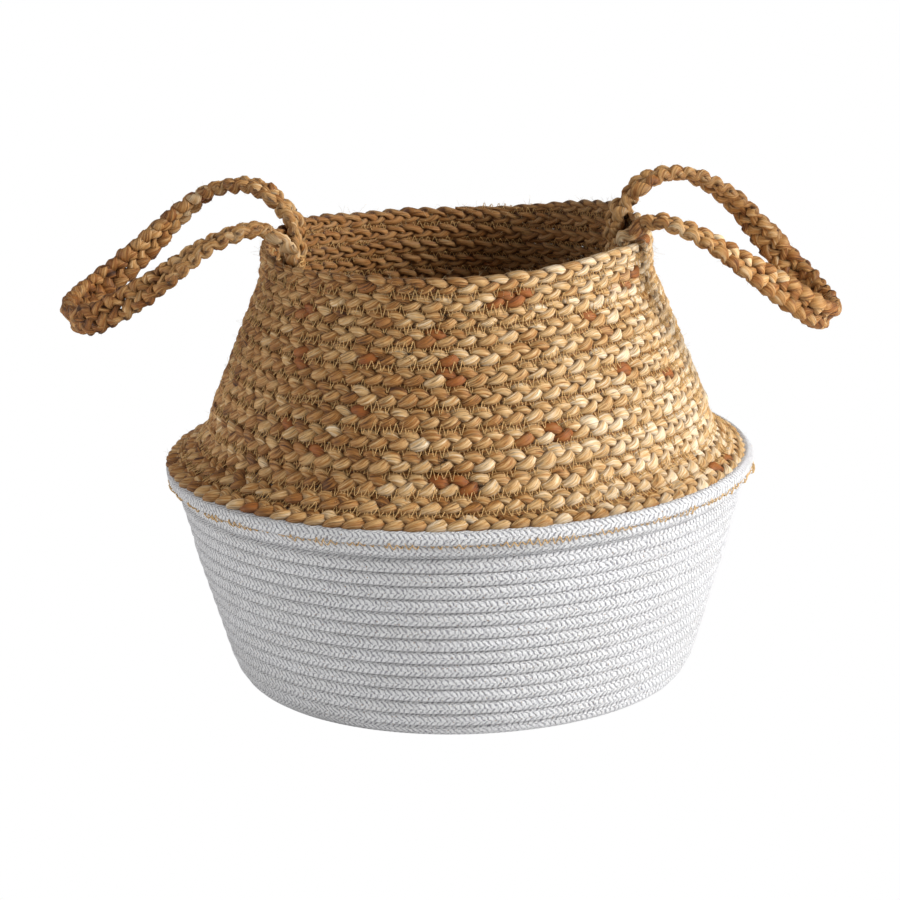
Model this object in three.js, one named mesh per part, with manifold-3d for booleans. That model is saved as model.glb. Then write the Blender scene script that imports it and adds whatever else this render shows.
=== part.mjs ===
// A rope basket in millimetres, +Z up, standing on the plane z = 0 with its axis on Z.
// The lower half is a cotton rope wound from the floor to a flared lip. The upper half
// is a flat jute braid, wound on from the lip to the mouth. Two braided jute handles
// stand out to the left (-X) and to the right (+X).

import * as THREE from 'three';
import { mergeVertices } from 'three/addons/utils/BufferGeometryUtils.js';
import Module from 'manifold-3d';

const wasm = await Module();
wasm.setup();

// Clearances
const TURN_GAP = 0.5;
const SEAT_GAP = 0.4;
const TAIL_GAP = 0.7;
const HINGE_GAP = 0.3;

// Cotton rope and jute braid, as sections
const ROPE_DIAMETER = 7.9;
const BRAID_WIDTH = 10.3;
const BRAID_THICKNESS = 7;

// Wall profile, on the middle of the rope or braid: radius and height of each place
const FOOT_RADIUS = 126.5;
const FOOT_LIFT = 0.6;
const CORNER_RADIUS = 134;
const CORNER_HEIGHT = 6;
const BOWL_LOW_RADIUS = 140.4;
const BOWL_LOW_HEIGHT = 31;
const BOWL_HIGH_RADIUS = 156.2;
const BOWL_HIGH_HEIGHT = 84;
const FLARE_RADIUS = 160.5;
const FLARE_HEIGHT = 110;
const LIP_RADIUS = 171.3;
const LIP_HEIGHT = 128.5;
const LIP_OVER_RADIUS = LIP_RADIUS + 2;
const LIP_OVER_HEIGHT = LIP_HEIGHT + 5.3;
const LEDGE_OUTER_RADIUS = LIP_RADIUS - 6.8;
const LEDGE_OUTER_HEIGHT = LIP_HEIGHT + 8;
const LEDGE_INNER_RADIUS = LIP_RADIUS - 15.5;
const LEDGE_INNER_HEIGHT = LIP_HEIGHT + 14.5;
const LEDGE_CORNER_RADIUS = LIP_RADIUS - 24;
const LEDGE_CORNER_HEIGHT = LIP_HEIGHT + 19;
const SHOULDER_RADIUS = LIP_RADIUS - 27.5;
const SHOULDER_HEIGHT = LIP_HEIGHT + 36.5;
const MOUTH_RADIUS = 111.8;
const MOUTH_HEIGHT = 261;
const NECK_RADIUS = MOUTH_RADIUS + 2.2;
const NECK_HEIGHT = MOUTH_HEIGHT - 25.5;
const NECK_CORNER_HEIGHT = MOUTH_HEIGHT - 19;

// The braid's end narrows to this share of its width over this share of a turn, so that
// the rim comes down to the turn below
const END_WIDTH_SHARE = 0.16;
const END_TURN_SHARE = 0.17;

// Spacing along the profile between the last rope turn and the first braid turn, and the
// share of a turn after which the braid leaves the rope's climb for its own
const SEAM_SPACING = 10.9;
const CATCH_UP_SHARE = 0.8;

// Rounding of the base's edge
const BASE_BEVEL = 3.55;
const BASE_BEVEL_STEPS = 3;

// Waist seam thread
const SEAM_THREAD_DIAMETER = 1.2;

// Handles: a wide flat braid, on feet that turn about a line over the rim
const HANDLE_WIDTH = 16.4;
const HANDLE_THICKNESS = 7.4;
const HANDLE_CORNER = 2.2;
const TIP_WIDTH_SHARE = 1.18;
const FOOT_AZIMUTH = 22.5;
const FOOT_LEAN = 52;
const FOOT_OVERRUN = 10;
const FOOT_RISE = 7.5;
const HINGE_OUT = 3.3;
const HINGE_HEIGHT = MOUTH_HEIGHT + 10;
const HINGE_RADIUS = 8;
const HINGE_SIDES = 40;

// Handle route from foot to tip: reach out from the hinge line, half span between the
// two sides, and rise over the hinge line. Both handles sway to the front, so that their
// back sides are higher than their front sides
const CREST_REACH = 11;
const CREST_SPAN = 42;
const CREST_RISE = 10;
const PEAK_REACH = 23.2;
const PEAK_SPAN = 49.3;
const PEAK_RISE = 13.3;
const SLOPE_REACH = 45.5;
const SLOPE_SPAN = 56.3;
const SLOPE_RISE = 8;
const FALL_REACH = 67.3;
const FALL_SPAN = 56.8;
const FALL_RISE = -6.5;
const SIDE_REACH = 79.4;
const SIDE_SPAN = 53.1;
const SIDE_RISE = -16.5;

// The two handles end differently: the right one hangs in closer and steeper
const LEFT_TURN_REACH = 107.4;
const LEFT_TURN_SPAN = 47.4;
const LEFT_TIP_REACH = 128.5;
const LEFT_TIP_RISE = -47.5;
const LEFT_TIP_LEAN = 33;
const LEFT_SWAY = 14.2;
const RIGHT_TURN_REACH = 100.5;
const RIGHT_TURN_SPAN = 45.4;
const RIGHT_TIP_REACH = 120;
const RIGHT_TIP_RISE = -55;
const RIGHT_TIP_LEAN = 45;
const RIGHT_SWAY = 17.4;
const TURN_RISE = -37;

// Where the band starts and ends its twist and its widening, as shares of the way to the
// tip
const TWIST_START = 0.2;
const TWIST_END = 0.8;
const WIDENING_START = 0.3;
const WIDENING_END = 0.9;

// Handle tails, sewn inside the wall
const TAIL_LENGTH = 52;
const LASHING_DIAMETER = 1.4;
const LASHING_CROSSINGS = 5;
const LASHING_PITCH = 7;
const LASHING_SLANT = 4.2;
const LASHING_TOP = 14;

// Counts
const STEPS_PER_TURN = 24;
const ROUND_SIDES = 6;
const THREAD_SIDES = 5;
const HANDLE_HALF_STEPS = 30;
const TIP_STEPS = 4;
const TAIL_STEPS = 12;
const GAP_SAMPLES = 5;

const SEAM_AZIMUTH = Math.PI / 2;
const UP = new THREE.Vector3(0, 0, 1);

// Materials

const cotton = { color: 0xdcd8cf, roughness: 0.9, metalness: 0 };
const jute = { color: 0xb08a5a, roughness: 0.85, metalness: 0 };
const handleJute = { color: 0x9c7444, roughness: 0.8, metalness: 0 };
const thread = { color: 0xc79a56, roughness: 0.6, metalness: 0 };

const group = new THREE.Group();

function addPiece(name, geometry, finish) {
  const mesh = new THREE.Mesh(geometry, new THREE.MeshStandardMaterial(finish));
  mesh.name = name;
  group.add(mesh);
}

// Sections: closed outlines of [across, outward] points, counter-clockwise

function roundSection(diameter, sides) {
  const outline = [];
  for (let k = 0; k < sides; k++) {
    const angle = (k * 2 * Math.PI) / sides;
    outline.push([(diameter / 2) * Math.cos(angle), (diameter / 2) * Math.sin(angle)]);
  }
  return outline;
}

// A braid with a pointed edge on each side, where the next turn is sewn on
function braidSection(width, thickness) {
  const edge = width / 2;
  const face = thickness / 2;
  return [
    [edge, 0],
    [edge / 2, face],
    [-edge / 2, face],
    [-edge, 0],
    [-edge / 2, -face],
    [edge / 2, -face],
  ];
}

function flatSection(width, thickness, corner) {
  const edge = width / 2;
  const face = thickness / 2;
  return [
    [edge, face - corner],
    [edge - corner, face],
    [corner - edge, face],
    [-edge, face - corner],
    [-edge, corner - face],
    [corner - edge, -face],
    [edge - corner, -face],
    [edge, corner - face],
  ];
}

// A station is one place on a sweep: its centre, the two directions of the section, and
// the share of its width there. across x outward points on along the sweep, so the faces
// point out.

function sweep(stations, outline) {
  const positions = [];
  const indices = [];
  const sides = outline.length;
  for (const { centre, across, outward, width = 1 } of stations) {
    for (const [u, v] of outline) {
      const point = centre.clone();
      point.addScaledVector(across, u * width).addScaledVector(outward, v);
      positions.push(point.x, point.y, point.z);
    }
  }
  for (let i = 0; i + 1 < stations.length; i++) {
    for (let k = 0; k < sides; k++) {
      const a = i * sides + k;
      const b = i * sides + ((k + 1) % sides);
      indices.push(a, b, a + sides, b, b + sides, a + sides);
    }
  }
  const last = (stations.length - 1) * sides;
  for (let k = 1; k + 1 < sides; k++) {
    indices.push(0, k + 1, k);
    indices.push(last, last + k, last + k + 1);
  }
  const geometry = new THREE.BufferGeometry();
  geometry.setAttribute('position', new THREE.Float32BufferAttribute(positions, 3));
  geometry.setIndex(indices);
  return geometry;
}

// The wall profile, from the foot to the mouth, as a path of radius and height

const footHeight = ROPE_DIAMETER / 2 + FOOT_LIFT;

const bowlPath = new THREE.Path();
bowlPath.moveTo(FOOT_RADIUS, footHeight);
bowlPath.quadraticCurveTo(CORNER_RADIUS, CORNER_HEIGHT, BOWL_LOW_RADIUS, BOWL_LOW_HEIGHT);
bowlPath.lineTo(BOWL_HIGH_RADIUS, BOWL_HIGH_HEIGHT);
bowlPath.quadraticCurveTo(FLARE_RADIUS, FLARE_HEIGHT, LIP_RADIUS, LIP_HEIGHT);

const conePath = new THREE.Path();
conePath.moveTo(LIP_RADIUS, LIP_HEIGHT);
conePath.quadraticCurveTo(
  LIP_OVER_RADIUS,
  LIP_OVER_HEIGHT,
  LEDGE_OUTER_RADIUS,
  LEDGE_OUTER_HEIGHT,
);
conePath.lineTo(LEDGE_INNER_RADIUS, LEDGE_INNER_HEIGHT);
conePath.quadraticCurveTo(
  LEDGE_CORNER_RADIUS,
  LEDGE_CORNER_HEIGHT,
  SHOULDER_RADIUS,
  SHOULDER_HEIGHT,
);
conePath.lineTo(NECK_RADIUS, NECK_HEIGHT);
conePath.quadraticCurveTo(MOUTH_RADIUS, NECK_CORNER_HEIGHT, MOUTH_RADIUS, MOUTH_HEIGHT);

const bowlLength = bowlPath.getLength();
const coneLength = conePath.getLength();

// The place on the profile at a length from the foot, with its tangent
function profileAt(length) {
  const onBowl = length <= bowlLength;
  const path = onBowl ? bowlPath : conePath;
  const share = onBowl ? length / bowlLength : (length - bowlLength) / coneLength;
  const clamped = Math.min(Math.max(share, 0), 1);
  return { point: path.getPointAt(clamped), tangent: path.getTangentAt(clamped) };
}

// Whole turns that fit, and the pitch that spreads them evenly
const ropeTurns = Math.floor(bowlLength / (ROPE_DIAMETER + TURN_GAP) + 0.5);
const ropePitch = bowlLength / (ropeTurns - 0.5);
const ropeEnd = ropeTurns * ropePitch;
const braidStart = ropeEnd - ropePitch + SEAM_SPACING;
const braidRun = bowlLength + coneLength - braidStart;
const braidTurns = Math.floor(braidRun / (BRAID_WIDTH + TURN_GAP));
const braidPitch = braidRun / braidTurns;

// How far a braid turn has climbed at a share of the turn: beside the rope it climbs as
// the rope does, and it makes up the rest of its own pitch just before the seam
function braidClimb(turn) {
  const whole = Math.floor(turn);
  const share = turn - whole;
  const late = THREE.MathUtils.smoothstep(share, CATCH_UP_SHARE, 1);
  return whole * braidPitch + share * ropePitch + late * (braidPitch - ropePitch);
}

function wallStation(length, turn, lift = 0) {
  const { point, tangent } = profileAt(length);
  const azimuth = SEAM_AZIMUTH + turn * 2 * Math.PI;
  const radial = new THREE.Vector3(Math.cos(azimuth), Math.sin(azimuth), 0);
  const across = radial.clone().multiplyScalar(tangent.x).addScaledVector(UP, tangent.y);
  const outward = radial.clone().multiplyScalar(tangent.y).addScaledVector(UP, -tangent.x);
  const centre = radial.clone().multiplyScalar(point.x).addScaledVector(UP, point.y);
  centre.addScaledVector(outward, lift);
  return { centre, across, outward };
}

function windStations(turns, lengthAt, lift = 0) {
  const stations = [];
  const steps = turns * STEPS_PER_TURN;
  const startShare = SEAT_GAP / (2 * Math.PI * MOUTH_RADIUS);
  for (let i = 0; i <= steps; i++) {
    const turn = i === 0 ? startShare : i / STEPS_PER_TURN;
    stations.push(wallStation(lengthAt(turn), turn, lift));
  }
  return stations;
}

// The least distance between the outlines of two stations, measured on points
function outlinePoints({ centre, across, outward, width = 1 }, outline) {
  const points = [];
  outline.forEach(([u, v], k) => {
    const [nextU, nextV] = outline[(k + 1) % outline.length];
    for (let n = 0; n < GAP_SAMPLES; n++) {
      const share = n / GAP_SAMPLES;
      const point = centre.clone();
      point.addScaledVector(across, width * (u + share * (nextU - u)));
      point.addScaledVector(outward, v + share * (nextV - v));
      points.push(point);
    }
  });
  return points;
}

function stationGap(first, firstOutline, second, secondOutline) {
  const firstPoints = outlinePoints(first, firstOutline);
  const secondPoints = outlinePoints(second, secondOutline);
  let least = Infinity;
  for (const a of firstPoints) {
    for (const b of secondPoints) least = Math.min(least, a.distanceTo(b));
  }
  return least;
}

function leastGapToItself(stations, outline) {
  let least = Infinity;
  for (let i = 0; i + STEPS_PER_TURN < stations.length; i++) {
    const next = stations[i + STEPS_PER_TURN];
    least = Math.min(least, stationGap(stations[i], outline, next, outline));
  }
  return least;
}

// Cotton base: the flat floor of the bowl, whose edge follows the first turn of the wall

function baseGeometry() {
  const edge = new THREE.Shape();
  const steps = STEPS_PER_TURN;
  const edgeGap = ROPE_DIAMETER / 2 + TURN_GAP;
  for (let i = 0; i <= steps; i++) {
    const turn = i / steps;
    const azimuth = SEAM_AZIMUTH + turn * 2 * Math.PI;
    const radius = profileAt(turn * ropePitch).point.x - edgeGap;
    const x = radius * Math.cos(azimuth);
    const y = radius * Math.sin(azimuth);
    if (i === 0) edge.moveTo(x, y);
    else edge.lineTo(x, y);
  }
  edge.closePath();
  const geometry = new THREE.ExtrudeGeometry(edge, {
    depth: ROPE_DIAMETER - 2 * BASE_BEVEL,
    bevelEnabled: true,
    bevelThickness: BASE_BEVEL,
    bevelSize: BASE_BEVEL,
    bevelOffset: -BASE_BEVEL,
    bevelSegments: BASE_BEVEL_STEPS,
    steps: 1,
  });
  geometry.translate(0, 0, BASE_BEVEL);
  return geometry;
}

addPiece('cotton_base', baseGeometry(), cotton);

// Cotton wall: one rope from the floor to the lip

const ropeSection = roundSection(ROPE_DIAMETER, ROUND_SIDES);
const ropeStations = windStations(ropeTurns, (turn) => turn * ropePitch);
addPiece('cotton_wall', sweep(ropeStations, ropeSection), cotton);
console.log('cotton_wall least gap to itself, mm:', leastGapToItself(ropeStations, ropeSection));

// Jute wall: one flat braid from the lip to the mouth

const wallSection = braidSection(BRAID_WIDTH, BRAID_THICKNESS);
const braidStations = windStations(braidTurns, (turn) => braidStart + braidClimb(turn));
braidStations.forEach((station, i) => {
  const left = (braidStations.length - 1 - i) / STEPS_PER_TURN;
  const share = THREE.MathUtils.smoothstep(left, 0, END_TURN_SHARE);
  station.width = THREE.MathUtils.lerp(END_WIDTH_SHARE, 1, share);
  station.centre.addScaledVector(station.across, ((station.width - 1) * BRAID_WIDTH) / 2);
});
addPiece('jute_wall', sweep(braidStations, wallSection), jute);
console.log('jute_wall least gap to itself, mm:', leastGapToItself(braidStations, wallSection));

const lastRopeTurn = ropeStations.slice(-STEPS_PER_TURN - 1);
let lipGap = Infinity;
lastRopeTurn.forEach((station, i) => {
  lipGap = Math.min(lipGap, stationGap(station, ropeSection, braidStations[i], wallSection));
});
console.log('gap between rope and braid at the lip, mm:', lipGap);

// Waist seam thread: laid in the groove under the last rope turn, on the facets beside it

const facetAngle = Math.PI / ROUND_SIDES;
const facetReach = (ROPE_DIAMETER / 2) * Math.cos(facetAngle);
const threadReach = facetReach + SEAM_THREAD_DIAMETER / 2 + HINGE_GAP;
const grooveDepth = threadReach - (ropePitch / 2) * Math.cos(facetAngle);
const grooveLift = grooveDepth / Math.sin(facetAngle);
const grooveStart = ropeEnd - 1.5 * ropePitch;
const seamSection = roundSection(SEAM_THREAD_DIAMETER, THREAD_SIDES);
const seamStations = windStations(1, (turn) => grooveStart + turn * ropePitch, grooveLift);
addPiece('waist_seam_thread', sweep(seamStations, seamSection), thread);

// Solids for cutting

function toSolid(geometry) {
  const bare = geometry.clone();
  bare.deleteAttribute('normal');
  bare.deleteAttribute('uv');
  const merged = mergeVertices(bare);
  return new wasm.Manifold(
    new wasm.Mesh({
      numProp: 3,
      vertProperties: new Float32Array(merged.attributes.position.array),
      triVerts: new Uint32Array(merged.index.array),
    }),
  );
}

function toGeometry(solid) {
  const mesh = solid.getMesh();
  const geometry = new THREE.BufferGeometry();
  geometry.setAttribute('position', new THREE.Float32BufferAttribute(mesh.vertProperties, 3));
  geometry.setIndex(new THREE.Uint32BufferAttribute(mesh.triVerts, 1));
  return geometry;
}

// Where a tail lies: on the flat of the braid inside the wall, clear of its facets
const halfStep = Math.PI / STEPS_PER_TURN;
const mouthInner = (MOUTH_RADIUS - BRAID_THICKNESS / 2) * Math.cos(halfStep);
const tailOffset = BRAID_THICKNESS / 2 + TAIL_GAP + HANDLE_THICKNESS / 2;
const footRadius = mouthInner - TAIL_GAP - HANDLE_THICKNESS / 2;
const footAngle = THREE.MathUtils.degToRad(FOOT_AZIMUTH);
const hingeReach = (footRadius + HINGE_OUT) * Math.cos(footAngle);
const hingeSpan = (footRadius + HINGE_OUT) * Math.sin(footAngle);

function hingeCylinder(side, radius) {
  const length = 2 * (hingeSpan + HANDLE_WIDTH);
  const cylinder = new THREE.CylinderGeometry(radius, radius, length, HINGE_SIDES);
  cylinder.translate(side * hingeReach, 0, HINGE_HEIGHT);
  return toSolid(cylinder);
}

// Stations along a curve, with the section carried along unturned from the first across
// direction, and then turned evenly until it meets the last one
function bandStations(curve, steps, firstAcross, lastAcross) {
  const places = curve.getSpacedPoints(steps);
  const tangents = places.map((_, i) => curve.getTangentAt(i / steps));
  const across = [firstAcross.clone()];
  for (let i = 1; i < places.length; i++) {
    const turned = across[i - 1].clone();
    turned.addScaledVector(tangents[i], -turned.dot(tangents[i]));
    across.push(turned.normalize());
  }
  const end = across[steps];
  const sine = end.clone().cross(lastAcross).dot(tangents[steps]);
  let twist = Math.atan2(sine, end.dot(lastAcross));
  if (twist > Math.PI / 2) twist -= Math.PI;
  if (twist < -Math.PI / 2) twist += Math.PI;
  return places.map((centre, i) => {
    const share = THREE.MathUtils.smoothstep(i / steps, TWIST_START, TWIST_END);
    across[i].applyAxisAngle(tangents[i], twist * share);
    const outward = tangents[i].clone().cross(across[i]);
    const widened = THREE.MathUtils.smoothstep(i / steps, WIDENING_START, WIDENING_END);
    const width = THREE.MathUtils.lerp(1, TIP_WIDTH_SHARE, widened);
    return { centre, across: across[i], outward, width };
  });
}

const mirrored = (v) => new THREE.Vector3(v.x, -v.y, v.z);

// What differs between the handles
const handleEnds = {
  left: {
    side: -1,
    turnReach: LEFT_TURN_REACH,
    turnSpan: LEFT_TURN_SPAN,
    tipReach: LEFT_TIP_REACH,
    tipRise: LEFT_TIP_RISE,
    tipLean: LEFT_TIP_LEAN,
    swayRise: LEFT_SWAY,
  },
  right: {
    side: 1,
    turnReach: RIGHT_TURN_REACH,
    turnSpan: RIGHT_TURN_SPAN,
    tipReach: RIGHT_TIP_REACH,
    tipRise: RIGHT_TIP_RISE,
    tipLean: RIGHT_TIP_LEAN,
    swayRise: RIGHT_SWAY,
  },
};

// One handle from its back foot round its tip to its front foot
function handleStations({ side, turnReach, turnSpan, tipReach, tipRise, tipLean, swayRise }) {
  const lean = THREE.MathUtils.degToRad(FOOT_LEAN);
  const radial = new THREE.Vector3(side * Math.cos(footAngle), Math.sin(footAngle), 0);
  const rising = radial.clone().multiplyScalar(Math.sin(lean)).addScaledVector(UP, Math.cos(lean));
  const hinge = new THREE.Vector3(side * hingeReach, hingeSpan, HINGE_HEIGHT);
  const place = (reach, span, rise) =>
    new THREE.Vector3(side * (hingeReach + reach), span, HINGE_HEIGHT + rise);
  const points = [
    radial.clone().multiplyScalar(footRadius).setZ(HINGE_HEIGHT - FOOT_OVERRUN),
    hinge,
    hinge.clone().addScaledVector(rising, FOOT_RISE),
    place(CREST_REACH, CREST_SPAN, CREST_RISE),
    place(PEAK_REACH, PEAK_SPAN, PEAK_RISE),
    place(SLOPE_REACH, SLOPE_SPAN, SLOPE_RISE),
    place(FALL_REACH, FALL_SPAN, FALL_RISE),
    place(SIDE_REACH, SIDE_SPAN, SIDE_RISE),
    place(turnReach, turnSpan, TURN_RISE),
  ];
  for (let k = 1; k <= TIP_STEPS; k++) {
    const angle = (k / TIP_STEPS) * (Math.PI / 2);
    const reach = turnReach + (tipReach - turnReach) * Math.sin(angle);
    const rise = TURN_RISE + (tipRise - TURN_RISE) * Math.sin(angle);
    points.push(place(reach, turnSpan * Math.cos(angle), rise));
  }
  const curve = new THREE.CatmullRomCurve3(points, false, 'centripetal');
  const firstAcross = new THREE.Vector3(-side * Math.sin(footAngle), Math.cos(footAngle), 0);
  const tip = THREE.MathUtils.degToRad(tipLean);
  const lastAcross = new THREE.Vector3(side * Math.sin(tip), 0, Math.cos(tip));
  const back = bandStations(curve, HANDLE_HALF_STEPS, firstAcross, lastAcross);
  const sways = back.map((_, i) => {
    const share = i / HANDLE_HALF_STEPS;
    return swayRise * Math.sin(Math.PI * share) ** 2 * (1 - share);
  });
  const front = back.map(({ centre, across, outward, width }, i) => ({
    centre: mirrored(centre).addScaledVector(UP, -sways[i]),
    across: mirrored(across),
    outward: mirrored(outward),
    width,
  }));
  back.forEach(({ centre }, i) => centre.addScaledVector(UP, sways[i]));
  return [...back, ...front.slice(0, -1).reverse()];
}

const handleSection = flatSection(HANDLE_WIDTH, HANDLE_THICKNESS, HANDLE_CORNER);

function handleGeometry(end) {
  const { side } = end;
  const band = toSolid(sweep(handleStations(end), handleSection));
  const depth = HINGE_RADIUS + FOOT_OVERRUN;
  const box = new THREE.BoxGeometry(4 * HINGE_RADIUS, 4 * hingeSpan, depth);
  box.translate(side * hingeReach, 0, HINGE_HEIGHT - depth / 2);
  const below = toSolid(box).subtract(hingeCylinder(side, HINGE_RADIUS));
  return toGeometry(band.subtract(below));
}

// A tail runs from the hinge down the inside of the wall, on the profile's inner side
function tailPath() {
  const points = [new THREE.Vector2(footRadius, HINGE_HEIGHT)];
  const rimLength = bowlLength + coneLength;
  for (let k = 0; k <= TAIL_STEPS; k++) {
    const { point, tangent } = profileAt(rimLength - (k / TAIL_STEPS) * TAIL_LENGTH);
    const inner = (point.x - tailOffset * tangent.y) * Math.cos(halfStep);
    points.push(new THREE.Vector2(inner, point.y + tailOffset * tangent.x));
  }
  return points;
}

function tailStations(azimuth) {
  const radial = new THREE.Vector3(Math.cos(azimuth), Math.sin(azimuth), 0);
  const across = new THREE.Vector3(-Math.sin(azimuth), Math.cos(azimuth), 0);
  const path = tailPath();
  return path.map((place, i) => {
    const before = path[Math.max(i - 1, 0)];
    const after = path[Math.min(i + 1, path.length - 1)];
    const slope = after.clone().sub(before).normalize();
    const down = radial.clone().multiplyScalar(slope.x).addScaledVector(UP, slope.y);
    const centre = radial.clone().multiplyScalar(place.x).addScaledVector(UP, place.y);
    return { centre, across, outward: down.cross(across) };
  });
}

function tailGeometry(side, azimuth) {
  const band = toSolid(sweep(tailStations(azimuth), handleSection));
  return toGeometry(band.subtract(hingeCylinder(side, HINGE_RADIUS + HINGE_GAP)));
}

// A lashing crosses the tail from edge to edge, and dips to the wall at both edges
function lashingGeometry(azimuth) {
  const stations = tailStations(azimuth);
  const lengths = [0];
  for (let i = 1; i < stations.length; i++) {
    lengths.push(lengths[i - 1] + stations[i].centre.distanceTo(stations[i - 1].centre));
  }
  const placeAt = (length, u, v) => {
    let i = 1;
    while (i < stations.length - 1 && lengths[i] < length) i++;
    const share = (length - lengths[i - 1]) / (lengths[i] - lengths[i - 1]);
    const centre = stations[i - 1].centre.clone().lerp(stations[i].centre, share);
    const outward = stations[i - 1].outward.clone().lerp(stations[i].outward, share).normalize();
    return centre.addScaledVector(stations[i].across, u).addScaledVector(outward, -v);
  };
  const clear = LASHING_DIAMETER / 2 + HINGE_GAP;
  const edge = HANDLE_WIDTH / 2 + clear;
  const face = HANDLE_THICKNESS / 2 + clear;
  const sunk = HANDLE_THICKNESS / 2 - LASHING_DIAMETER / 2;
  const points = [];
  for (let k = 0; k < LASHING_CROSSINGS; k++) {
    const start = LASHING_TOP + k * LASHING_PITCH;
    const end = start + LASHING_SLANT;
    const from = k % 2 === 0 ? -1 : 1;
    points.push(placeAt(start, from * edge, -sunk));
    points.push(placeAt(start, from * edge, face - HANDLE_CORNER));
    points.push(placeAt(start, from * (edge - HANDLE_CORNER), face));
    points.push(placeAt(end, -from * (edge - HANDLE_CORNER), face));
    points.push(placeAt(end, -from * edge, face - HANDLE_CORNER));
    points.push(placeAt(end, -from * edge, -sunk));
  }
  const threadStations = points.map((centre, i) => {
    const before = points[Math.max(i - 1, 0)];
    const after = points[Math.min(i + 1, points.length - 1)];
    const along = after.clone().sub(before).normalize();
    const across = stations[1].outward.clone().cross(stations[1].across);
    across.addScaledVector(along, -across.dot(along)).normalize();
    const outward = along.clone().cross(across);
    return { centre, across, outward };
  });
  return sweep(threadStations, roundSection(LASHING_DIAMETER, THREAD_SIDES));
}

for (const [sideName, end] of Object.entries(handleEnds)) {
  const { side } = end;
  addPiece(`handle_${sideName}`, handleGeometry(end), handleJute);
  for (const [endName, turn] of [['back', 1], ['front', -1]]) {
    const azimuth = Math.atan2(turn * Math.sin(footAngle), side * Math.cos(footAngle));
    addPiece(`handle_${sideName}_${endName}_tail`, tailGeometry(side, azimuth), handleJute);
    addPiece(`handle_${sideName}_${endName}_lashing`, lashingGeometry(azimuth), thread);
  }
}

export default group;
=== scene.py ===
# The looks of a rope basket: white cotton rope below, jute braid above, and two braided
# jute handles. The basket's own lengths are millimetres, and build_piece makes them metres.
# The camera, the lights and the floor are in metres. The wall's profile and the handles'
# route repeat the solids' own values.

import math

import bpy
import numpy as np
from mathutils import Matrix, Vector


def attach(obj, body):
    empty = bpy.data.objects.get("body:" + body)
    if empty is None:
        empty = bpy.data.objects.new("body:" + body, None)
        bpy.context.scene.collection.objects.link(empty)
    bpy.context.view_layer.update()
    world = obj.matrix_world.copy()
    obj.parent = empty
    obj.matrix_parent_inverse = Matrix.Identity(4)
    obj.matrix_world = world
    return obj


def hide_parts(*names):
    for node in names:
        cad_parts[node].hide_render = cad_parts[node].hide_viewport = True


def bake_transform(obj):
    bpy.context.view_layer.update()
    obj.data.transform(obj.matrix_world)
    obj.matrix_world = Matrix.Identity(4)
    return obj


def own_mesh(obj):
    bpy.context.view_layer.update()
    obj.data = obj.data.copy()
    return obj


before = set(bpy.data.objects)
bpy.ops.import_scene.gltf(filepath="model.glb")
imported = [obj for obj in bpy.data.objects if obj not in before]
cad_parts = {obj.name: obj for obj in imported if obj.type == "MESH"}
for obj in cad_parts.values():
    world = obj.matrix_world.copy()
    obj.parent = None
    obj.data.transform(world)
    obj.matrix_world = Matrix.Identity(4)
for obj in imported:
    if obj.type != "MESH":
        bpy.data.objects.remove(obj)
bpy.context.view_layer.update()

MILLIMETRE = 0.001
UP = np.array([0.0, 0.0, 1.0])
rng = np.random.RandomState(7)


# Camera, in metres

TARGET = Vector((0, 0, 0.130))
DISTANCE = 1.90
ELEVATION = math.radians(15.2)
ROLL = math.radians(1.1)
LENS = 126.96
SHIFT = (-0.0112, 0.0083)

camera_data = bpy.data.cameras.new("camera")
camera = bpy.data.objects.new("camera", camera_data)
bpy.context.collection.objects.link(camera)
bpy.context.scene.camera = camera
camera_data.lens = LENS
camera_data.shift_x, camera_data.shift_y = SHIFT
back = Vector((0, -math.cos(ELEVATION), math.sin(ELEVATION)))
turned = (-back).to_track_quat("-Z", "Y").to_matrix() @ Matrix.Rotation(-ROLL, 3, "Z")
camera.matrix_world = Matrix.Translation(TARGET + back * DISTANCE) @ turned.to_4x4()


# Shader maths


class Signal:
    """A number or colour inside a material, which takes the usual signs."""

    def __init__(self, material, socket):
        self.material = material
        self.socket = socket

    def maths(self, operation, *others):
        inputs = enumerate([self, *others])
        return self.material.node("Math", inputs, operation=operation)

    def __add__(self, other):
        return self.maths("ADD", other)

    def __sub__(self, other):
        return self.maths("SUBTRACT", other)

    def __rsub__(self, other):
        return self * -1 + other

    def __mul__(self, other):
        return self.maths("MULTIPLY", other)

    def __pow__(self, other):
        return self.maths("POWER", other)

    def __abs__(self):
        return self.maths("ABSOLUTE")

    __radd__ = __add__
    __rmul__ = __mul__


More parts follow.
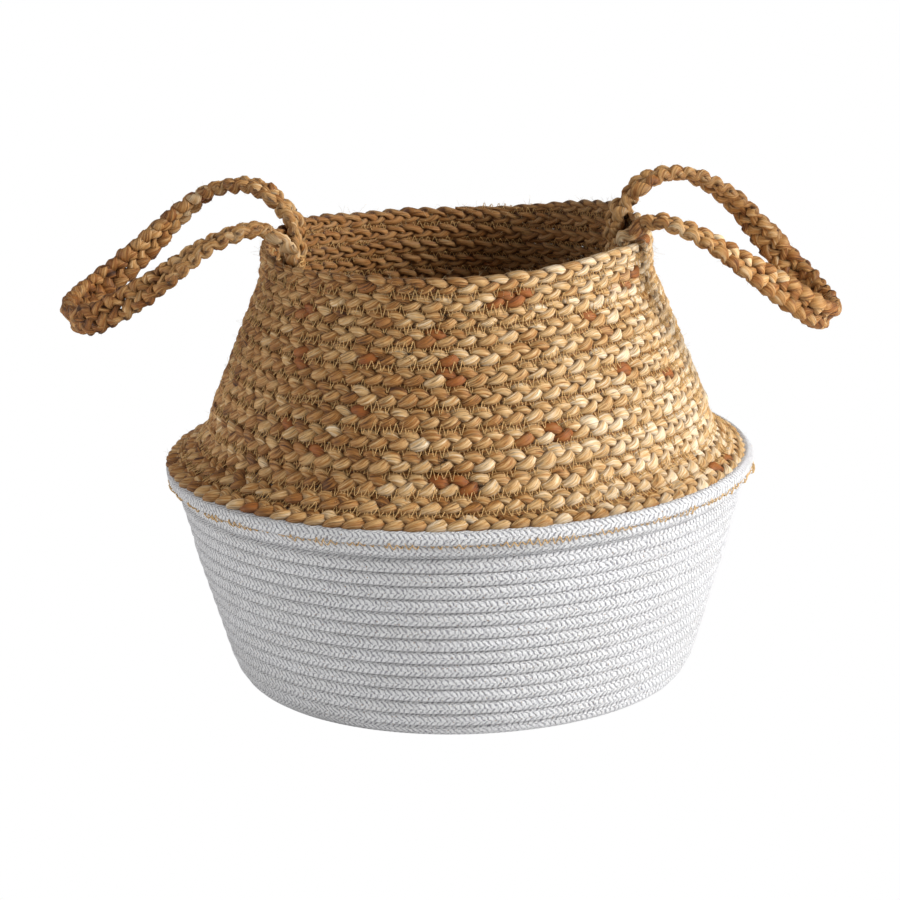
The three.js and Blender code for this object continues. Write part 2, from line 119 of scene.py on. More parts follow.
class Material:
    """A material around one Principled shader."""

    def __init__(self, name):
        self.material = bpy.data.materials.new(name)
        self.material.use_nodes = True
        self.tree = self.material.node_tree
        self.shader = self.tree.nodes["Principled BSDF"]

    def feed(self, socket, value):
        if isinstance(value, Signal):
            self.tree.links.new(value.socket, socket)
        else:
            socket.default_value = value

    def node(self, kind, inputs=(), output=0, **settings):
        node = self.tree.nodes.new("ShaderNode" + kind)
        for key, value in settings.items():
            setattr(node, key, value)
        for key, value in dict(inputs).items():
            self.feed(node.inputs[key], value)
        return Signal(self, node.outputs[output])

    def along_piece(self):
        """The two ways on a strand: along it in millimetres, and round it in millimetres
        where scaled_uv gave its girth, or else as a share."""
        uv = self.node("UVMap", uv_map="strand")
        split = self.tree.nodes.new("ShaderNodeSeparateXYZ")
        self.feed(split.inputs[0], uv)
        return Signal(self, split.outputs[0]), Signal(self, split.outputs[1])

    def vector(self, x, y):
        return self.node("CombineXYZ", {0: x, 1: y})

    def noise(self, vector, detail=2.0, roughness=0.5):
        inputs = {"Vector": vector, "Scale": 1.0, "Detail": detail, "Roughness": roughness}
        return self.node("TexNoise", inputs)

    def attribute(self, name):
        return self.node("Attribute", output="Fac", attribute_name=name)

    def ramp(self, factor, *stops):
        """A colour for each place on the factor's way from 0 to 1."""
        made = self.node("ValToRGB", {0: factor})
        elements = made.socket.node.color_ramp.elements
        for _ in stops[2:]:
            elements.new(0.5)
        for element, (place, colour) in zip(elements, stops):
            element.position = place
            element.color = colour
        return made

    def mix(self, factor, first, second, blend="MIX"):
        """One colour into another. Inputs 6 and 7 and output 2 are the colours' own."""
        inputs = {0: factor, 6: first, 7: second}
        return self.node("Mix", inputs, 2, data_type="RGBA", blend_type=blend)

    def grade(self, value, low, high, to_low=0.0, to_high=1.0):
        """The value's way from low to high, laid over another stretch and held there."""
        inputs = {0: value, 1: low, 2: high, 3: to_low, 4: to_high}
        return self.node("MapRange", inputs, clamp=True)

    def finish(self, colour, roughness, height, depth, **sockets):
        """Feeds the shader. A height of 1 stands out by the depth, in millimetres."""
        self.feed(self.shader.inputs["Base Color"], colour)
        self.feed(self.shader.inputs["Roughness"], roughness)
        bump = {"Height": height, "Distance": depth * MILLIMETRE, "Strength": 1.0}
        self.feed(self.shader.inputs["Normal"], self.node("Bump", bump))
        for name, value in sockets.items():
            self.feed(self.shader.inputs[name.replace("_", " ")], value)
        return self.material


def rgba(r, g, b):
    """An opaque colour from its screen values, 0 to 255."""
    shares = np.array([r, g, b]) / 255
    linear = np.where(shares < 0.04045, shares / 12.92, ((shares + 0.055) / 1.055) ** 2.4)
    return (*linear, 1)


def fibre_material(name, dark, tan, pale, bright, rust_and_bounce, contrast):
    """Loose fibres that run along a strand. Each point of the mesh has a tint, a share of rust
    that on the wall's inner side also carries painted bounce light, and painted shade where
    it lies between other strands."""
    m = Material(name)
    around, along = m.along_piece()
    laid = around + along * 0.22
    fine = m.noise(m.vector(laid * 1.15, along * 0.075), detail=4.0, roughness=0.68)
    broad = m.noise(m.vector(laid * 0.45, along * 0.06), detail=1.0)
    hair = m.noise(m.vector(laid * 2.0, along * 0.11), detail=2.0)
    tint = m.attribute("tint")
    painted_crevice_shade = m.attribute("painted_crevice_shade")
    level = tint + (fine - 0.5) * contrast + (broad - 0.5) * 0.45
    places = (0.0, 0.28, 0.58, 0.95)
    colours = (rgba(*shade) for shade in (dark, tan, pale, bright))
    fibres = m.ramp(level, *zip(places, colours))
    # The rust share is real rust on some leaves, and painted bounce light on the wall's inner
    # side
    rust_and_bounce_here = m.grade(m.attribute("rust_and_bounce") + (fine - 0.5) * 0.8, 0.42, 0.58)
    rust_and_bounce_colour = m.mix(m.grade(fine, 0.38, 0.7), rgba(*rust_and_bounce), rgba(*tan))
    with_rust_and_bounce = m.mix(rust_and_bounce_here, fibres, rust_and_bounce_colour)
    gaps = m.grade(hair, 0.32, 0.47, 0.22, 1.0)
    grey_gaps = m.node("CombineColor", {0: gaps, 1: gaps, 2: gaps})
    lined = m.mix(0.7, with_rust_and_bounce, grey_gaps, "MULTIPLY")
    # Painted shade: the dark colour laid over points under other strands and on the strands'
    # sides
    colour = m.mix(painted_crevice_shade * 0.92, lined, rgba(*dark))
    height = fine * 0.6 + broad * 0.5 + hair * 0.25
    roughness = m.grade(fine, 0.3, 0.7, 0.72, 0.50)
    return m.finish(colour, roughness, height, 0.9, Specular_IOR_Level=0.35)


def cotton_material(name, columns, pitch):
    """A round braid: slanting strands that meet in a row of points. The columns go round
    the rope, and the pitch is the length of one strand's crossing."""
    m = Material(name)
    around, along = m.along_piece()
    column = around * columns
    side = column - column.maths("ROUND")
    offset = m.node("Math", {0: side, 1: 0.0}, operation="GREATER_THAN") * 0.5
    wobble = m.noise(m.vector(around * 3.0, along * 0.12), detail=1.0)
    ruffle = m.noise(m.vector(around * 14.0, along * 0.55), detail=1.0)
    lay = along * (1 / pitch) + abs(side) * 1.6 + offset + (wobble - 0.5) * 0.9
    lay = lay + (ruffle - 0.5) * 0.8
    strand = abs((lay * math.pi).maths("SINE")) ** 0.55
    yarn = m.noise(m.vector(lay * 7.0, abs(side) * 2.5), detail=2.0)
    fluff = m.noise(m.vector(around * 90.0, along * 2.2), detail=2.0, roughness=0.7)
    soft = m.noise(m.vector(around * 1.0, along * 0.018), detail=2.0)
    patchy = m.noise(m.vector(around * 20.0, along * 0.8), detail=2.0, roughness=0.6)
    level = m.grade(strand + (patchy - 0.5) * 2.0 + (fluff - 0.5) * 0.8, 0.0, 1.0)
    # Painted shade: grey-blue in the hollows between the strands, near white on them
    painted_strand_shade = m.mix(level, rgba(138, 137, 147), rgba(241, 241, 242))
    tone = m.mix(soft, rgba(238, 237, 234), rgba(255, 255, 255))
    toned = m.mix(1.0, painted_strand_shade, tone, "MULTIPLY")
    speck = m.grade(m.noise(m.vector(around * 26.0, along * 0.9), detail=0.0), 0.20, 0.24)
    colour = m.mix(speck, rgba(150, 120, 84), toned)
    height = strand * 0.8 + yarn * 0.3 + fluff * 0.4 + patchy * 0.3
    return m.finish(colour, 0.92, height, 1.0, Specular_IOR_Level=0.12, Sheen_Weight=0.15)


def thread_material(name, dark, light):
    """A twisted sewing thread."""
    m = Material(name)
    around, along = m.along_piece()
    twist = abs(((around * 2.0 + along * 0.9) * math.pi).maths("SINE"))
    # Painted shade: the thread is darker in the grooves of its twist, where its bump is low
    colour = m.mix(m.grade(twist, 0.0, 0.6), rgba(*dark), rgba(*light))
    return m.finish(colour, 0.5, twist, 0.12, Specular_IOR_Level=0.4)


JUTE_GIRTH = 14.0
HANDLE_GIRTH = 12.0

cotton = cotton_material("white_cotton_rope", columns=4, pitch=3.3)
jute = fibre_material(
    "jute_fibre",
    dark=(62, 29, 5),
    tan=(162, 108, 49),
    pale=(207, 167, 111),
    bright=(244, 225, 194),
    rust_and_bounce=(146, 72, 18),
    contrast=1.5,
)
handle_jute = fibre_material(
    "handle_jute_fibre",
    dark=(54, 26, 6),
    tan=(152, 94, 38),
    pale=(202, 153, 92),
    bright=(242, 214, 170),
    rust_and_bounce=(150, 76, 24),
    contrast=1.4,
)
golden_thread = thread_material("golden_thread", (170, 118, 56), (232, 190, 124))
tan_thread = thread_material("tan_thread", (176, 130, 74), (226, 188, 132))
loose_fibre = thread_material("loose_fibre", (176, 140, 92), (236, 212, 166))
dark_fibre = thread_material("dark_fibre", (30, 22, 14), (70, 50, 30))


# Meshes from stations: a station is a centre with the two directions of its section


def unit(vectors):
    return vectors / np.linalg.norm(vectors, axis=-1, keepdims=True)


def tangents_of(points):
    return unit(np.gradient(points, axis=0))


def square_to(tangents, across):
    """The across directions, turned square to the tangents."""
    return unit(across - tangents * np.sum(across * tangents, 1, keepdims=True))


def lengths_of(points):
    steps = np.linalg.norm(np.diff(points, axis=0), axis=1)
    return np.concatenate([[0.0], np.cumsum(steps)])


def side_angles(sides):
    return np.arange(sides) * 2 * math.pi / sides


class Tube:
    """Points, faces and values of one tube with closed ends. Its half widths are wide and
    thick, and a power under 1 makes its section squarer."""

    def __init__(
        self, centres, across, outward, wide, thick, sides, power=1.0, values=None, lumps=1.0
    ):
        angles = side_angles(sides)
        u = np.sign(np.cos(angles)) * np.abs(np.cos(angles)) ** power
        v = np.sign(np.sin(angles)) * np.abs(np.sin(angles)) ** power
        wide = np.broadcast_to(wide, len(centres))
        thick = np.broadcast_to(thick, len(centres))
        rings = centres[:, None] + across[:, None] * (wide[:, None] * u * lumps)[..., None]
        rings = rings + outward[:, None] * (thick[:, None] * v * lumps)[..., None]
        self.points = rings.reshape(-1, 3)
        self.out = unit(rings - centres[:, None]).reshape(-1, 3)
        self.values = {k: np.repeat(x, sides) for k, x in (values or {}).items()}
        count = len(centres)
        ring = np.arange(count - 1)[:, None] * sides
        side = np.arange(sides)[None]
        after = (side + 1) % sides
        low_side, low_after = ring + side, ring + after
        quads = np.stack([low_side, low_after, low_after + sides, low_side + sides], -1)
        self.quads = quads.reshape(-1, 4)
        last = (count - 1) * sides
        self.caps = [np.arange(sides)[::-1], last + np.arange(sides)]
        along = lengths_of(centres)
        u_low = np.broadcast_to(side / sides, (count - 1, sides))
        u_high = u_low + 1 / sides
        v_low = np.broadcast_to(along[:-1, None], (count - 1, sides))
        v_high = np.broadcast_to(along[1:, None], (count - 1, sides))
        corners = [(u_low, v_low), (u_high, v_low), (u_high, v_high), (u_low, v_high)]
        self.uv = np.stack([np.stack(c, -1) for c in corners], 2).reshape(-1, 2)


def thread_tube(points, aim, radius, sides):
    """A round thread along points, whose section is laid by the aim."""
    tangents = tangents_of(points)
    flat = unit(np.cross(tangents, aim))
    return Tube(points, flat, np.cross(tangents, flat), radius, radius, sides)


def scaled_uv(tube, girth, start=0.0):
    """The tube with its way round in millimetres, and its way along from the start."""
    tube.uv = tube.uv * np.array([girth, 1.0]) + np.array([0.0, start])
    return tube


def joined_mesh(name, tubes):
    """One mesh from tubes, with their ways round and along, and their values."""
    points, quads, caps, uv = [], [], [], []
    values = {key: [] for key in tubes[0].values}
    base = 0
    for tube in tubes:
        points.append(tube.points)
        quads.append(tube.quads + base)
        caps.extend(cap + base for cap in tube.caps)
        uv.append(tube.uv)
        for key in values:
            values[key].append(tube.values[key])
        base += len(tube.points)
    points = np.concatenate(points) * MILLIMETRE
    quads = np.concatenate(quads)
    starts = np.arange(len(quads)) * 4
    sizes = np.array([len(cap) for cap in caps])
    cap_starts = len(quads) * 4 + np.concatenate([[0], np.cumsum(sizes)[:-1]])
    loops = np.concatenate([quads.ravel(), np.concatenate(caps)])
    mesh = bpy.data.meshes.new(name)
    mesh.vertices.add(len(points))
    mesh.vertices.foreach_set("co", points.astype(np.float32).ravel())
    mesh.loops.add(len(loops))
    mesh.loops.foreach_set("vertex_index", loops.astype(np.int32))
    mesh.polygons.add(len(quads) + len(caps))
    all_starts = np.concatenate([starts, cap_starts]).astype(np.int32)
    mesh.polygons.foreach_set("loop_start", all_starts)
    mesh.polygons.foreach_set("use_smooth", np.ones(len(all_starts), bool))
    mesh.update(calc_edges=True)
    layer = mesh.uv_layers.new(name="strand")
    flat = np.zeros((len(loops), 2), np.float32)
    flat[: len(quads) * 4] = np.concatenate(uv)
    layer.data.foreach_set("uv", flat.ravel())
    for key, parts in values.items():
        attribute = mesh.attributes.new(key, "FLOAT", "POINT")
        attribute.data.foreach_set("value", np.concatenate(parts).astype(np.float32))
    return mesh


def build_piece(name, tubes, material, body, slot, *nodes):
    """One object from tubes, riding on a body if it has one, and standing for the nodes."""
    mesh = joined_mesh(name, tubes)
    mesh.materials.append(material)
    piece = bpy.data.objects.new(name, mesh)
    bpy.context.collection.objects.link(piece)
    if body:
        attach(piece, body)
    if nodes:
        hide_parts(*nodes)
    return piece


def smooth_random(lengths, spacing):
    """A value that wanders from -1 to 1 along a length, with a new aim at each spacing."""
    count = int(lengths[-1] / spacing) + 3
    places = np.arange(count) * spacing
    aims = rng.uniform(-1, 1, count)
    return np.interp(lengths, places, aims)


def smoothstep(value, low, high):
    """A soft step from 0 at low to 1 at high."""
    share = np.clip((value - low) / (high - low), 0, 1)
    return share * share * (3 - 2 * share)


def lumpy(lengths, sides, spacing, depth):
    """How much a strand's bundles of fibre swell and sink, round it and along it."""
    bundles = [smooth_random(lengths, spacing) for _ in range(sides)]
    return 1 + depth * np.stack(bundles, 1)


# Wall profile, from the foot to the mouth: radius and height

ROPE = 7.9
FOOT = (126.5, 4.55)
CORNER = (134.0, 6.0)
BOWL_LOW = (140.4, 31.0)
BOWL_HIGH = (156.2, 84.0)
FLARE = (160.5, 110.0)
LIP = (171.3, 128.5)
LIP_OVER = (173.3, 133.8)
LEDGE_OUTER = (164.5, 136.5)
LEDGE_INNER = (155.8, 143.0)
LEDGE_CORNER = (147.3, 147.5)
SHOULDER = (143.8, 165.0)
NECK = (114.0, 235.5)
NECK_CORNER = (111.8, 242.0)
MOUTH = (111.8, 261.0)

CURVE_POINTS = 200
ROUGH_POINTS_A_TURN = 200

ROPE_TURNS = 16
BRAID_TURNS = 13

# From the last rope turn to the first braid turn
SEAM_SPACING = 10.9

# Every turn starts and ends at the back
SEAM_AZIMUTH = math.pi / 2

# A braid turn climbs as the rope does up to this share of the turn
CLIMB_WITH_ROPE = 0.8

# Each braid turn is lower than the one under it by twice this
PITCH_FALL = 0.175

# How far the rim is pulled up at each azimuth in degrees, and where the wall starts to give
RIM_LIFTS = (
    (0, 6.0), (30, 9.0), (52, 6.0), (72, 3.2), (100, 4.0), (126, 5.0), (150, 8.6),
    (180, 3.5), (210, 1.6), (244, 3.0), (275, 2.6), (321, 6.8), (340, 5.0),
)
LIFT_FROM = LIP[1] + 20


def bend(start, corner, end):
    """A curve that leaves and arrives along the lines to the corner."""
    t = np.linspace(0, 1, CURVE_POINTS)[:, None]
    start, corner, end = (np.array(p) for p in (start, corner, end))
    return (1 - t) ** 2 * start + 2 * t * (1 - t) * corner + t * t * end


def line(start, end):
    t = np.linspace(0, 1, CURVE_POINTS)[:, None]
    return np.array(start) * (1 - t) + np.array(end) * t


def joined(*parts):
    """Curves end to end, each shared end kept once."""
    return np.concatenate([parts[0], *(part[1:] for part in parts[1:])])


bowl_profile = joined(
    bend(FOOT, CORNER, BOWL_LOW),
    line(BOWL_LOW, BOWL_HIGH),
    bend(BOWL_HIGH, FLARE, LIP),
)
cone_profile = joined(
    bend(LIP, LIP_OVER, LEDGE_OUTER),
    line(LEDGE_OUTER, LEDGE_INNER),
    bend(LEDGE_INNER, LEDGE_CORNER, SHOULDER),
    line(SHOULDER, NECK),
    bend(NECK, NECK_CORNER, MOUTH),
)
profile = joined(bowl_profile, cone_profile)
profile_lengths = lengths_of(profile)
profile_slopes = tangents_of(profile)
bowl_length = lengths_of(bowl_profile)[-1]
wall_length = profile_lengths[-1]
rope_pitch = bowl_length / (ROPE_TURNS - 0.5)
rope_end = ROPE_TURNS * rope_pitch
braid_start = rope_end - rope_pitch + SEAM_SPACING
braid_pitch = (wall_length - braid_start) / BRAID_TURNS


def whole_climb(turn):
    """How far the braid has climbed after whole turns: they are tallest over the lip and
    press closer towards the mouth."""
    return turn * braid_pitch + turn * (BRAID_TURNS - turn) * PITCH_FALL


def turn_height(turn):
    return whole_climb(turn + 1) - whole_climb(turn)


def braid_climb(turn):
    """How far the braid has climbed: as the rope does, and the rest before the seam."""
    whole = np.floor(turn)
    share = turn - whole
    late = smoothstep(share, CLIMB_WITH_ROPE, 1.0)
    return whole_climb(whole) + share * rope_pitch + late * (turn_height(whole) - rope_pitch)


def rim_lift(azimuth):
    """How far the handles and the way it is sewn pull the rim up at each azimuth."""
    places, lifts = np.array(RIM_LIFTS).T
    return np.interp(np.degrees(azimuth), places, lifts, period=360)


def columns_at(places, along, table):
    """The table's rows at places on the way along."""
    return np.stack([np.interp(places, along, column) for column in table.T], 1)


def directions_at(azimuth):
    """Level directions out from the axis."""
    return np.stack([np.cos(azimuth), np.sin(azimuth), np.zeros_like(azimuth)], 1)


def wall_frame(length, turn, lift=1.0):
    """Centre, across and outward directions at a profile length and a turn."""
    length = np.clip(length, 0, wall_length)
    radius, height = columns_at(length, profile_lengths, profile).T
    slope = unit(columns_at(length, profile_lengths, profile_slopes))
    azimuth = SEAM_AZIMUTH + turn * 2 * math.pi
    height = height + lift * rim_lift(azimuth) * smoothstep(height, LIFT_FROM, MOUTH[1])
    radial = directions_at(azimuth)
    across = radial * slope[:, :1] + UP * slope[:, 1:]
    outward = radial * slope[:, 1:] - UP * slope[:, :1]
    return radial * radius[:, None] + UP * height[:, None], across, outward


def evenly(turns, step, length_at):
    """Turns at even steps of length along a winding, and these lengths."""
    rough = np.linspace(0, turns, int(turns * ROUGH_POINTS_A_TURN) + 1)
    centres, _, _ = wall_frame(length_at(rough), rough)
    along = lengths_of(centres)
    places = np.linspace(0, along[-1], int(along[-1] / step) + 1)
    return np.interp(places, along, rough), places


# Cotton rope: the base's flat spiral, and the wall

COTTON_SIDES = 12
COTTON_WIDE = 4.44
COTTON_THICK = 3.95
COTTON_SWELL = 0.10
COTTON_SQUARENESS = 0.62
ROPE_STEP = 2.4
BASE_POINTS_A_TURN = 120

# The base's rope starts this far from the axis, and a knot closes the middle. Each of its
# rings has its height off the rope's middle, as a share of the rope's radius, and its share
# of the knot's radius
BASE_START = 4
KNOT_RADIUS = 9.0
KNOT_AT = np.array([2.5, 1.8, 0.0])
KNOT_RINGS = ((-0.96, 0.6), (-0.8, 0.95), (0.0, 1.0), (0.7, 0.9), (0.9, 0.5))

# Turns of the wall's rope, with how far the flare's last turns are shifted up and sunk in
FLARE_SHIFTS = ((13.6, 0.0), (14.5, 3.0), (15.5, 2.4), (16, 2.4))
FLARE_SINKS = ((13.0, 0.0), (14.1, 1.5), (14.9, 1.5), (15.3, 0.0))
LIP_FIT = 0.93
LIP_TURNS = (14.9, 15.3)
END_FIT = 0.35
END_TAPER_TURNS = 0.008

# A thin cord closes the wide groove between the flare's turns
FILLER_TURNS = (12.6, 14.45)
FILLER_TAPER_TURNS = 0.3
FILLER_END_RADIUS = 0.5
FILLER_SWELL = 1.9
FILLER_SINK = 1.2


def cotton_tube(centres, across, outward, fit=1.0):
    """A rope along the stations, with a fit of 1 at its full size."""
    wide = (COTTON_WIDE + smooth_random(lengths_of(centres), 9) * COTTON_SWELL) * fit
    thick = COTTON_THICK * fit
    return Tube(centres, across, outward, wide, thick, COTTON_SIDES, COTTON_SQUARENESS)


def base_rope():
    """The base's flat spiral, from the middle to the wall's foot."""
    turns = int((FOOT[0] - BASE_START) / rope_pitch)
    turn = np.linspace(-turns, 0, turns * BASE_POINTS_A_TURN)
    radial = directions_at(SEAM_AZIMUTH + turn * 2 * math.pi)
    height = ROPE / 2 + (FOOT[1] - ROPE / 2) * smoothstep(turn, -0.5, 0)
    centres = radial * (FOOT[0] + rope_pitch * turn)[:, None] + UP * height[:, None]
    return cotton_tube(centres, radial, np.broadcast_to(-UP, centres.shape))


def centre_knot():
    heights, shares = np.transpose(KNOT_RINGS)
    centres = KNOT_AT + UP * (ROPE / 2 * (1 + heights))[:, None]
    sideways, forwards = (np.broadcast_to(way, centres.shape) for way in np.eye(3)[:2])
    radii = KNOT_RADIUS * shares
    return Tube(centres, sideways, forwards, radii, radii, COTTON_SIDES)


def wall_rope():
    """The wall's rope, and the filler between the turns of its flare."""
    turn, _ = evenly(ROPE_TURNS, ROPE_STEP, lambda turn: turn * rope_pitch)
    length = turn * rope_pitch + np.interp(turn, *np.transpose(FLARE_SHIFTS))
    centres, across, outward = wall_frame(length, turn)
    centres = centres - outward * np.interp(turn, *np.transpose(FLARE_SINKS))[:, None]
    fit = END_FIT + (1 - END_FIT) * smoothstep(ROPE_TURNS - turn, 0, END_TAPER_TURNS)
    fit = fit * (1 - (1 - LIP_FIT) * smoothstep(turn, *LIP_TURNS))
    rope = cotton_tube(centres, across, outward, fit)
    first, last = FILLER_TURNS
    wide = (turn > first) & (turn < last)
    turn_above = columns_at(turn[wide] + 1, turn, centres)
    middles = (centres[wide] + turn_above) / 2 - outward[wide] * FILLER_SINK
    from_end = np.minimum(turn[wide] - first, last - turn[wide])
    radii = FILLER_END_RADIUS + FILLER_SWELL * smoothstep(from_end, 0, FILLER_TAPER_TURNS)
    return rope, Tube(middles, across[wide], outward[wide], radii, radii, COTTON_SIDES)


build_piece(
    "cotton_base_rope", [base_rope(), centre_knot()], cotton, "bowl", "cotton_rope",
    "cotton_base",
)
build_piece("cotton_wall_rope", wall_rope(), cotton, "bowl", "cotton_rope", "cotton_wall")


# Jute wall: a flat braid of three strands

STRANDS = 3
STRAND_SIDES = 14
STRAND_STEP = 1.9
JUTE_SQUARENESS = 0.85

# Along the braid, from one leaf to the next on the same edge
LOBE = 11.5

# A strand's way across and out with how much it wanders, its half widths, and its lumps
STRAND_SWING = 3.55
SWING_WANDER = 0.45
STRAND_RISE = 1.5
RISE_WANDER = 0.3
STRAND_WIDE = 2.6
STRAND_THICK = 1.75
SLIMMEST = 0.35
STRAND_LUMPS = 0.09

# Each turn's upper edge leans in by this share
TILT = 0.1

# The braid's end narrows to this share of its width over this share of a turn, so that
# the rim comes down to the turn below. Its start widens over a short length
END_WIDTH_SHARE = 0.16
END_TURN_SHARE = 0.17
START_WIDTH_SHARE = 0.3
START_LENGTH = 16

# Leaves differ in swell and tint, and a few are rust-coloured
PHASE_WANDER = 0.12
PLUMP_SPREAD = 0.14
SWELL = 0.30
SWELL_AHEAD = 0.22
MIDDLE_TINT = 0.43
TINT_SPREAD = 0.09
TINT_WANDER = 0.10
DARKEST_TINT = 0.22
RUST_SHARE = 0.02
RUST_RANGE = (0.4, 0.65)
PLACED_RUST = 0.62
RUST_TURNS = (
    11.53, 11.543, 11.556, 10.366, 7.374, 8.431, 9.484, 8.492, 7.494, 4.376, 3.406, 2.486,
    2.502, 4.564, 9.61, 6.63, 5.68,
)

# The wall is painted palest at this share of a turn, the side towards the key light, and painted
# darker away from it: painted light and shade. Its inner side is painted more golden and paler,
# a painted bounce light
PAINTED_KEY_LIGHT = 0.3
PAINTED_KEY_LIGHT_TURN = 0.68
PAINTED_AWAY_SHADE = 0.06
INSIDE_BOUNCE_WARMTH = 0.48
INSIDE_BOUNCE_TINT = 0.54


def wall_length_at(turn):
    return braid_start + braid_climb(turn)


def give_when_pressed(piece):
    """Gives the piece its own copy of its mesh."""
    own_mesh(piece)


def strand_frames(frame_at, swing, rise, roll):
    """Path and section directions of one strand, from its offsets across and outward."""
    centres, across, outward = frame_at
    path = centres + across * swing[:, None] + outward * rise[:, None]
    tangents = tangents_of(path)
    flat = square_to(tangents, across)
    face = np.cross(tangents, flat)
    cosine, sine = np.cos(roll)[:, None], np.sin(roll)[:, None]
    return path, flat * cosine - face * sine, face * cosine + flat * sine


class Weave:
    """What one strand of a flat braid does along its length. Its leaf is the phase where a
    leaf starts and how long it lasts, and over_of says how far the strand lies over the
    others at a phase. It is plumpest just before the next strand covers it."""

    def __init__(self, places, strands, lobe, index, leaf, over_of, rolls=0.0, rust_places=()):
        self.phase = 2 * math.pi * (places / (strands * lobe) + index / strands)
        self.phase = self.phase + smooth_random(places, 60) * PHASE_WANDER
        self.over = over_of(self.phase)
        self.fold = np.sin(self.phase) ** 4
        self.roll = rolls * math.pi / 2 * (1 + np.clip(1.2 * np.cos(self.phase), -1, 1))
        lobes = np.floor((self.phase - leaf[0]) / leaf[1]).astype(int)
        count = lobes.max() + 2
        swell = over_of(self.phase - SWELL_AHEAD)
        self.plump = rng.normal(0, PLUMP_SPREAD, count)[lobes] + SWELL * swell
        tint = rng.normal(MIDDLE_TINT, TINT_SPREAD, count)[lobes]
        tint = np.maximum(tint + smooth_random(places, 160) * TINT_WANDER, DARKEST_TINT)
        with_rust_and_bounce = (rng.uniform(0, 1, count) < RUST_SHARE) * rng.uniform(*RUST_RANGE, count)
        for place in rust_places:
            near = np.argmin(np.abs(places - place))
            if self.over[near] > 0.2:
                with_rust_and_bounce[lobes[near]] = PLACED_RUST
        self.values = {"tint": tint, "rust_and_bounce": with_rust_and_bounce[lobes]}

    def paint_crevice_shade(self, tube, sides, chosen=slice(None)):
        """Paints shade on the tube's points that other strands cover or stand close to, and on
        its sides.
        """
        angles = side_angles(sides) - self.roll[chosen, None]
        covered = smoothstep(-self.over[chosen, None] * np.sin(angles), 0.0, 0.65)
        outer = smoothstep(np.sin(self.phase)[chosen, None] * np.cos(angles), 0.3, 0.9)
        beside = (1 - np.abs(np.sin(angles)) ** 1.5) * (1 - 0.45 * outer)
        tube.values["painted_crevice_shade"] = np.maximum(covered, 0.8 * beside).ravel()
        return tube


THREE_LEAF = (math.pi / 4, math.pi)
FIVE_LEAF = (math.pi * 3 / 8, math.pi / 2)


def three_over(phase):
    return -np.sin(2 * phase)


def five_over(phase):
    return np.tanh(1.3 * (1.23 * np.sin(4 * phase) - 0.29 * np.sin(2 * phase)))


def tapered(share, fullness):
    """A width that is the share at no fullness, and 1 at full."""
    return share + (1 - share) * fullness


braid_turn, braid_places = evenly(BRAID_TURNS, STRAND_STEP, wall_length_at)
braid_centres, braid_across, braid_outward = wall_frame(wall_length_at(braid_turn), braid_turn)
before_end = smoothstep(BRAID_TURNS - braid_turn, 0, END_TURN_SHARE)
past_start = smoothstep(braid_places, 0, START_LENGTH)
braid_width = tapered(END_WIDTH_SHARE, before_end) * tapered(START_WIDTH_SHARE, past_start)
braid_spread = turn_height(np.maximum(braid_turn - 0.5, 0)) / braid_pitch
braid_drop = (braid_width - 1) * braid_pitch / 2 * (braid_turn > 1)
braid_centres = braid_centres + braid_across * braid_drop[:, None]
braid_frame = (braid_centres, braid_across, braid_outward)


def key_side_painted_light(turn):
    """Painted light and shade: how much paler the wall is painted towards the key light, and
    darker away from it.
    """
    towards = 0.5 + 0.5 * np.cos(2 * math.pi * (turn - PAINTED_KEY_LIGHT_TURN))
    return PAINTED_KEY_LIGHT * towards**3 - PAINTED_AWAY_SHADE


# Painted bounce light: the strand's inner side is painted more golden and paler
def paint_inside_bounce_light(tube, stations):
    inside = smoothstep(-np.sin(np.tile(side_angles(STRAND_SIDES), stations)), 0.0, 0.5)
    tube.values["rust_and_bounce"] = np.maximum(tube.values["rust_and_bounce"], INSIDE_BOUNCE_WARMTH * inside)
    tube.values["tint"] += 0.5 * inside * (INSIDE_BOUNCE_TINT - tube.values["tint"])


def wall_strand(k, rust_places):
    """One of the braid's strands, from the lip to the rim."""
    weave = Weave(braid_places, STRANDS, LOBE, k, THREE_LEAF, three_over, 0.0, rust_places)
    # Painted light: paler on the side towards the key light, darker away from it
    weave.values["tint"] += key_side_painted_light(braid_turn)
    swing = STRAND_SWING * (np.sin(weave.phase) + 0.08 * np.sin(3 * weave.phase))
    swing = swing + smooth_random(braid_places, 12) * SWING_WANDER
    rise = STRAND_RISE * weave.over - TILT * swing
    rise = rise + smooth_random(braid_places, 9) * RISE_WANDER
    slim = tapered(SLIMMEST, braid_width)
    wide = STRAND_WIDE * (1 + weave.plump) * slim * braid_spread
    thick = STRAND_THICK * (1 + weave.plump * 0.5 + 0.3 * weave.fold) * slim
    swing = swing * braid_width * braid_spread
    path, flat, face = strand_frames(braid_frame, swing, rise * slim, weave.roll)
    lumps = lumpy(braid_places, STRAND_SIDES, 6, STRAND_LUMPS)
    tube = Tube(
        path, flat, face, wide, thick, STRAND_SIDES, JUTE_SQUARENESS, weave.values, lumps
    )
    weave.paint_crevice_shade(tube, STRAND_SIDES)
    paint_inside_bounce_light(tube, len(path))
    return scaled_uv(tube, JUTE_GIRTH, rng.uniform(0, 90))


rust_at = np.interp(RUST_TURNS, braid_turn, braid_places)
wall_tubes = []
for k in range(STRANDS):
    wall_tubes.append(wall_strand(k, rust_at))
    strand = build_piece(
        f"jute_wall_strand_{k + 1}", wall_tubes[-1:], jute, "mouth", "jute_braid", "jute_wall"
    )
    give_when_pressed(strand)


# Hidden fibres that fill the grooves between the turns and the middle of the braid

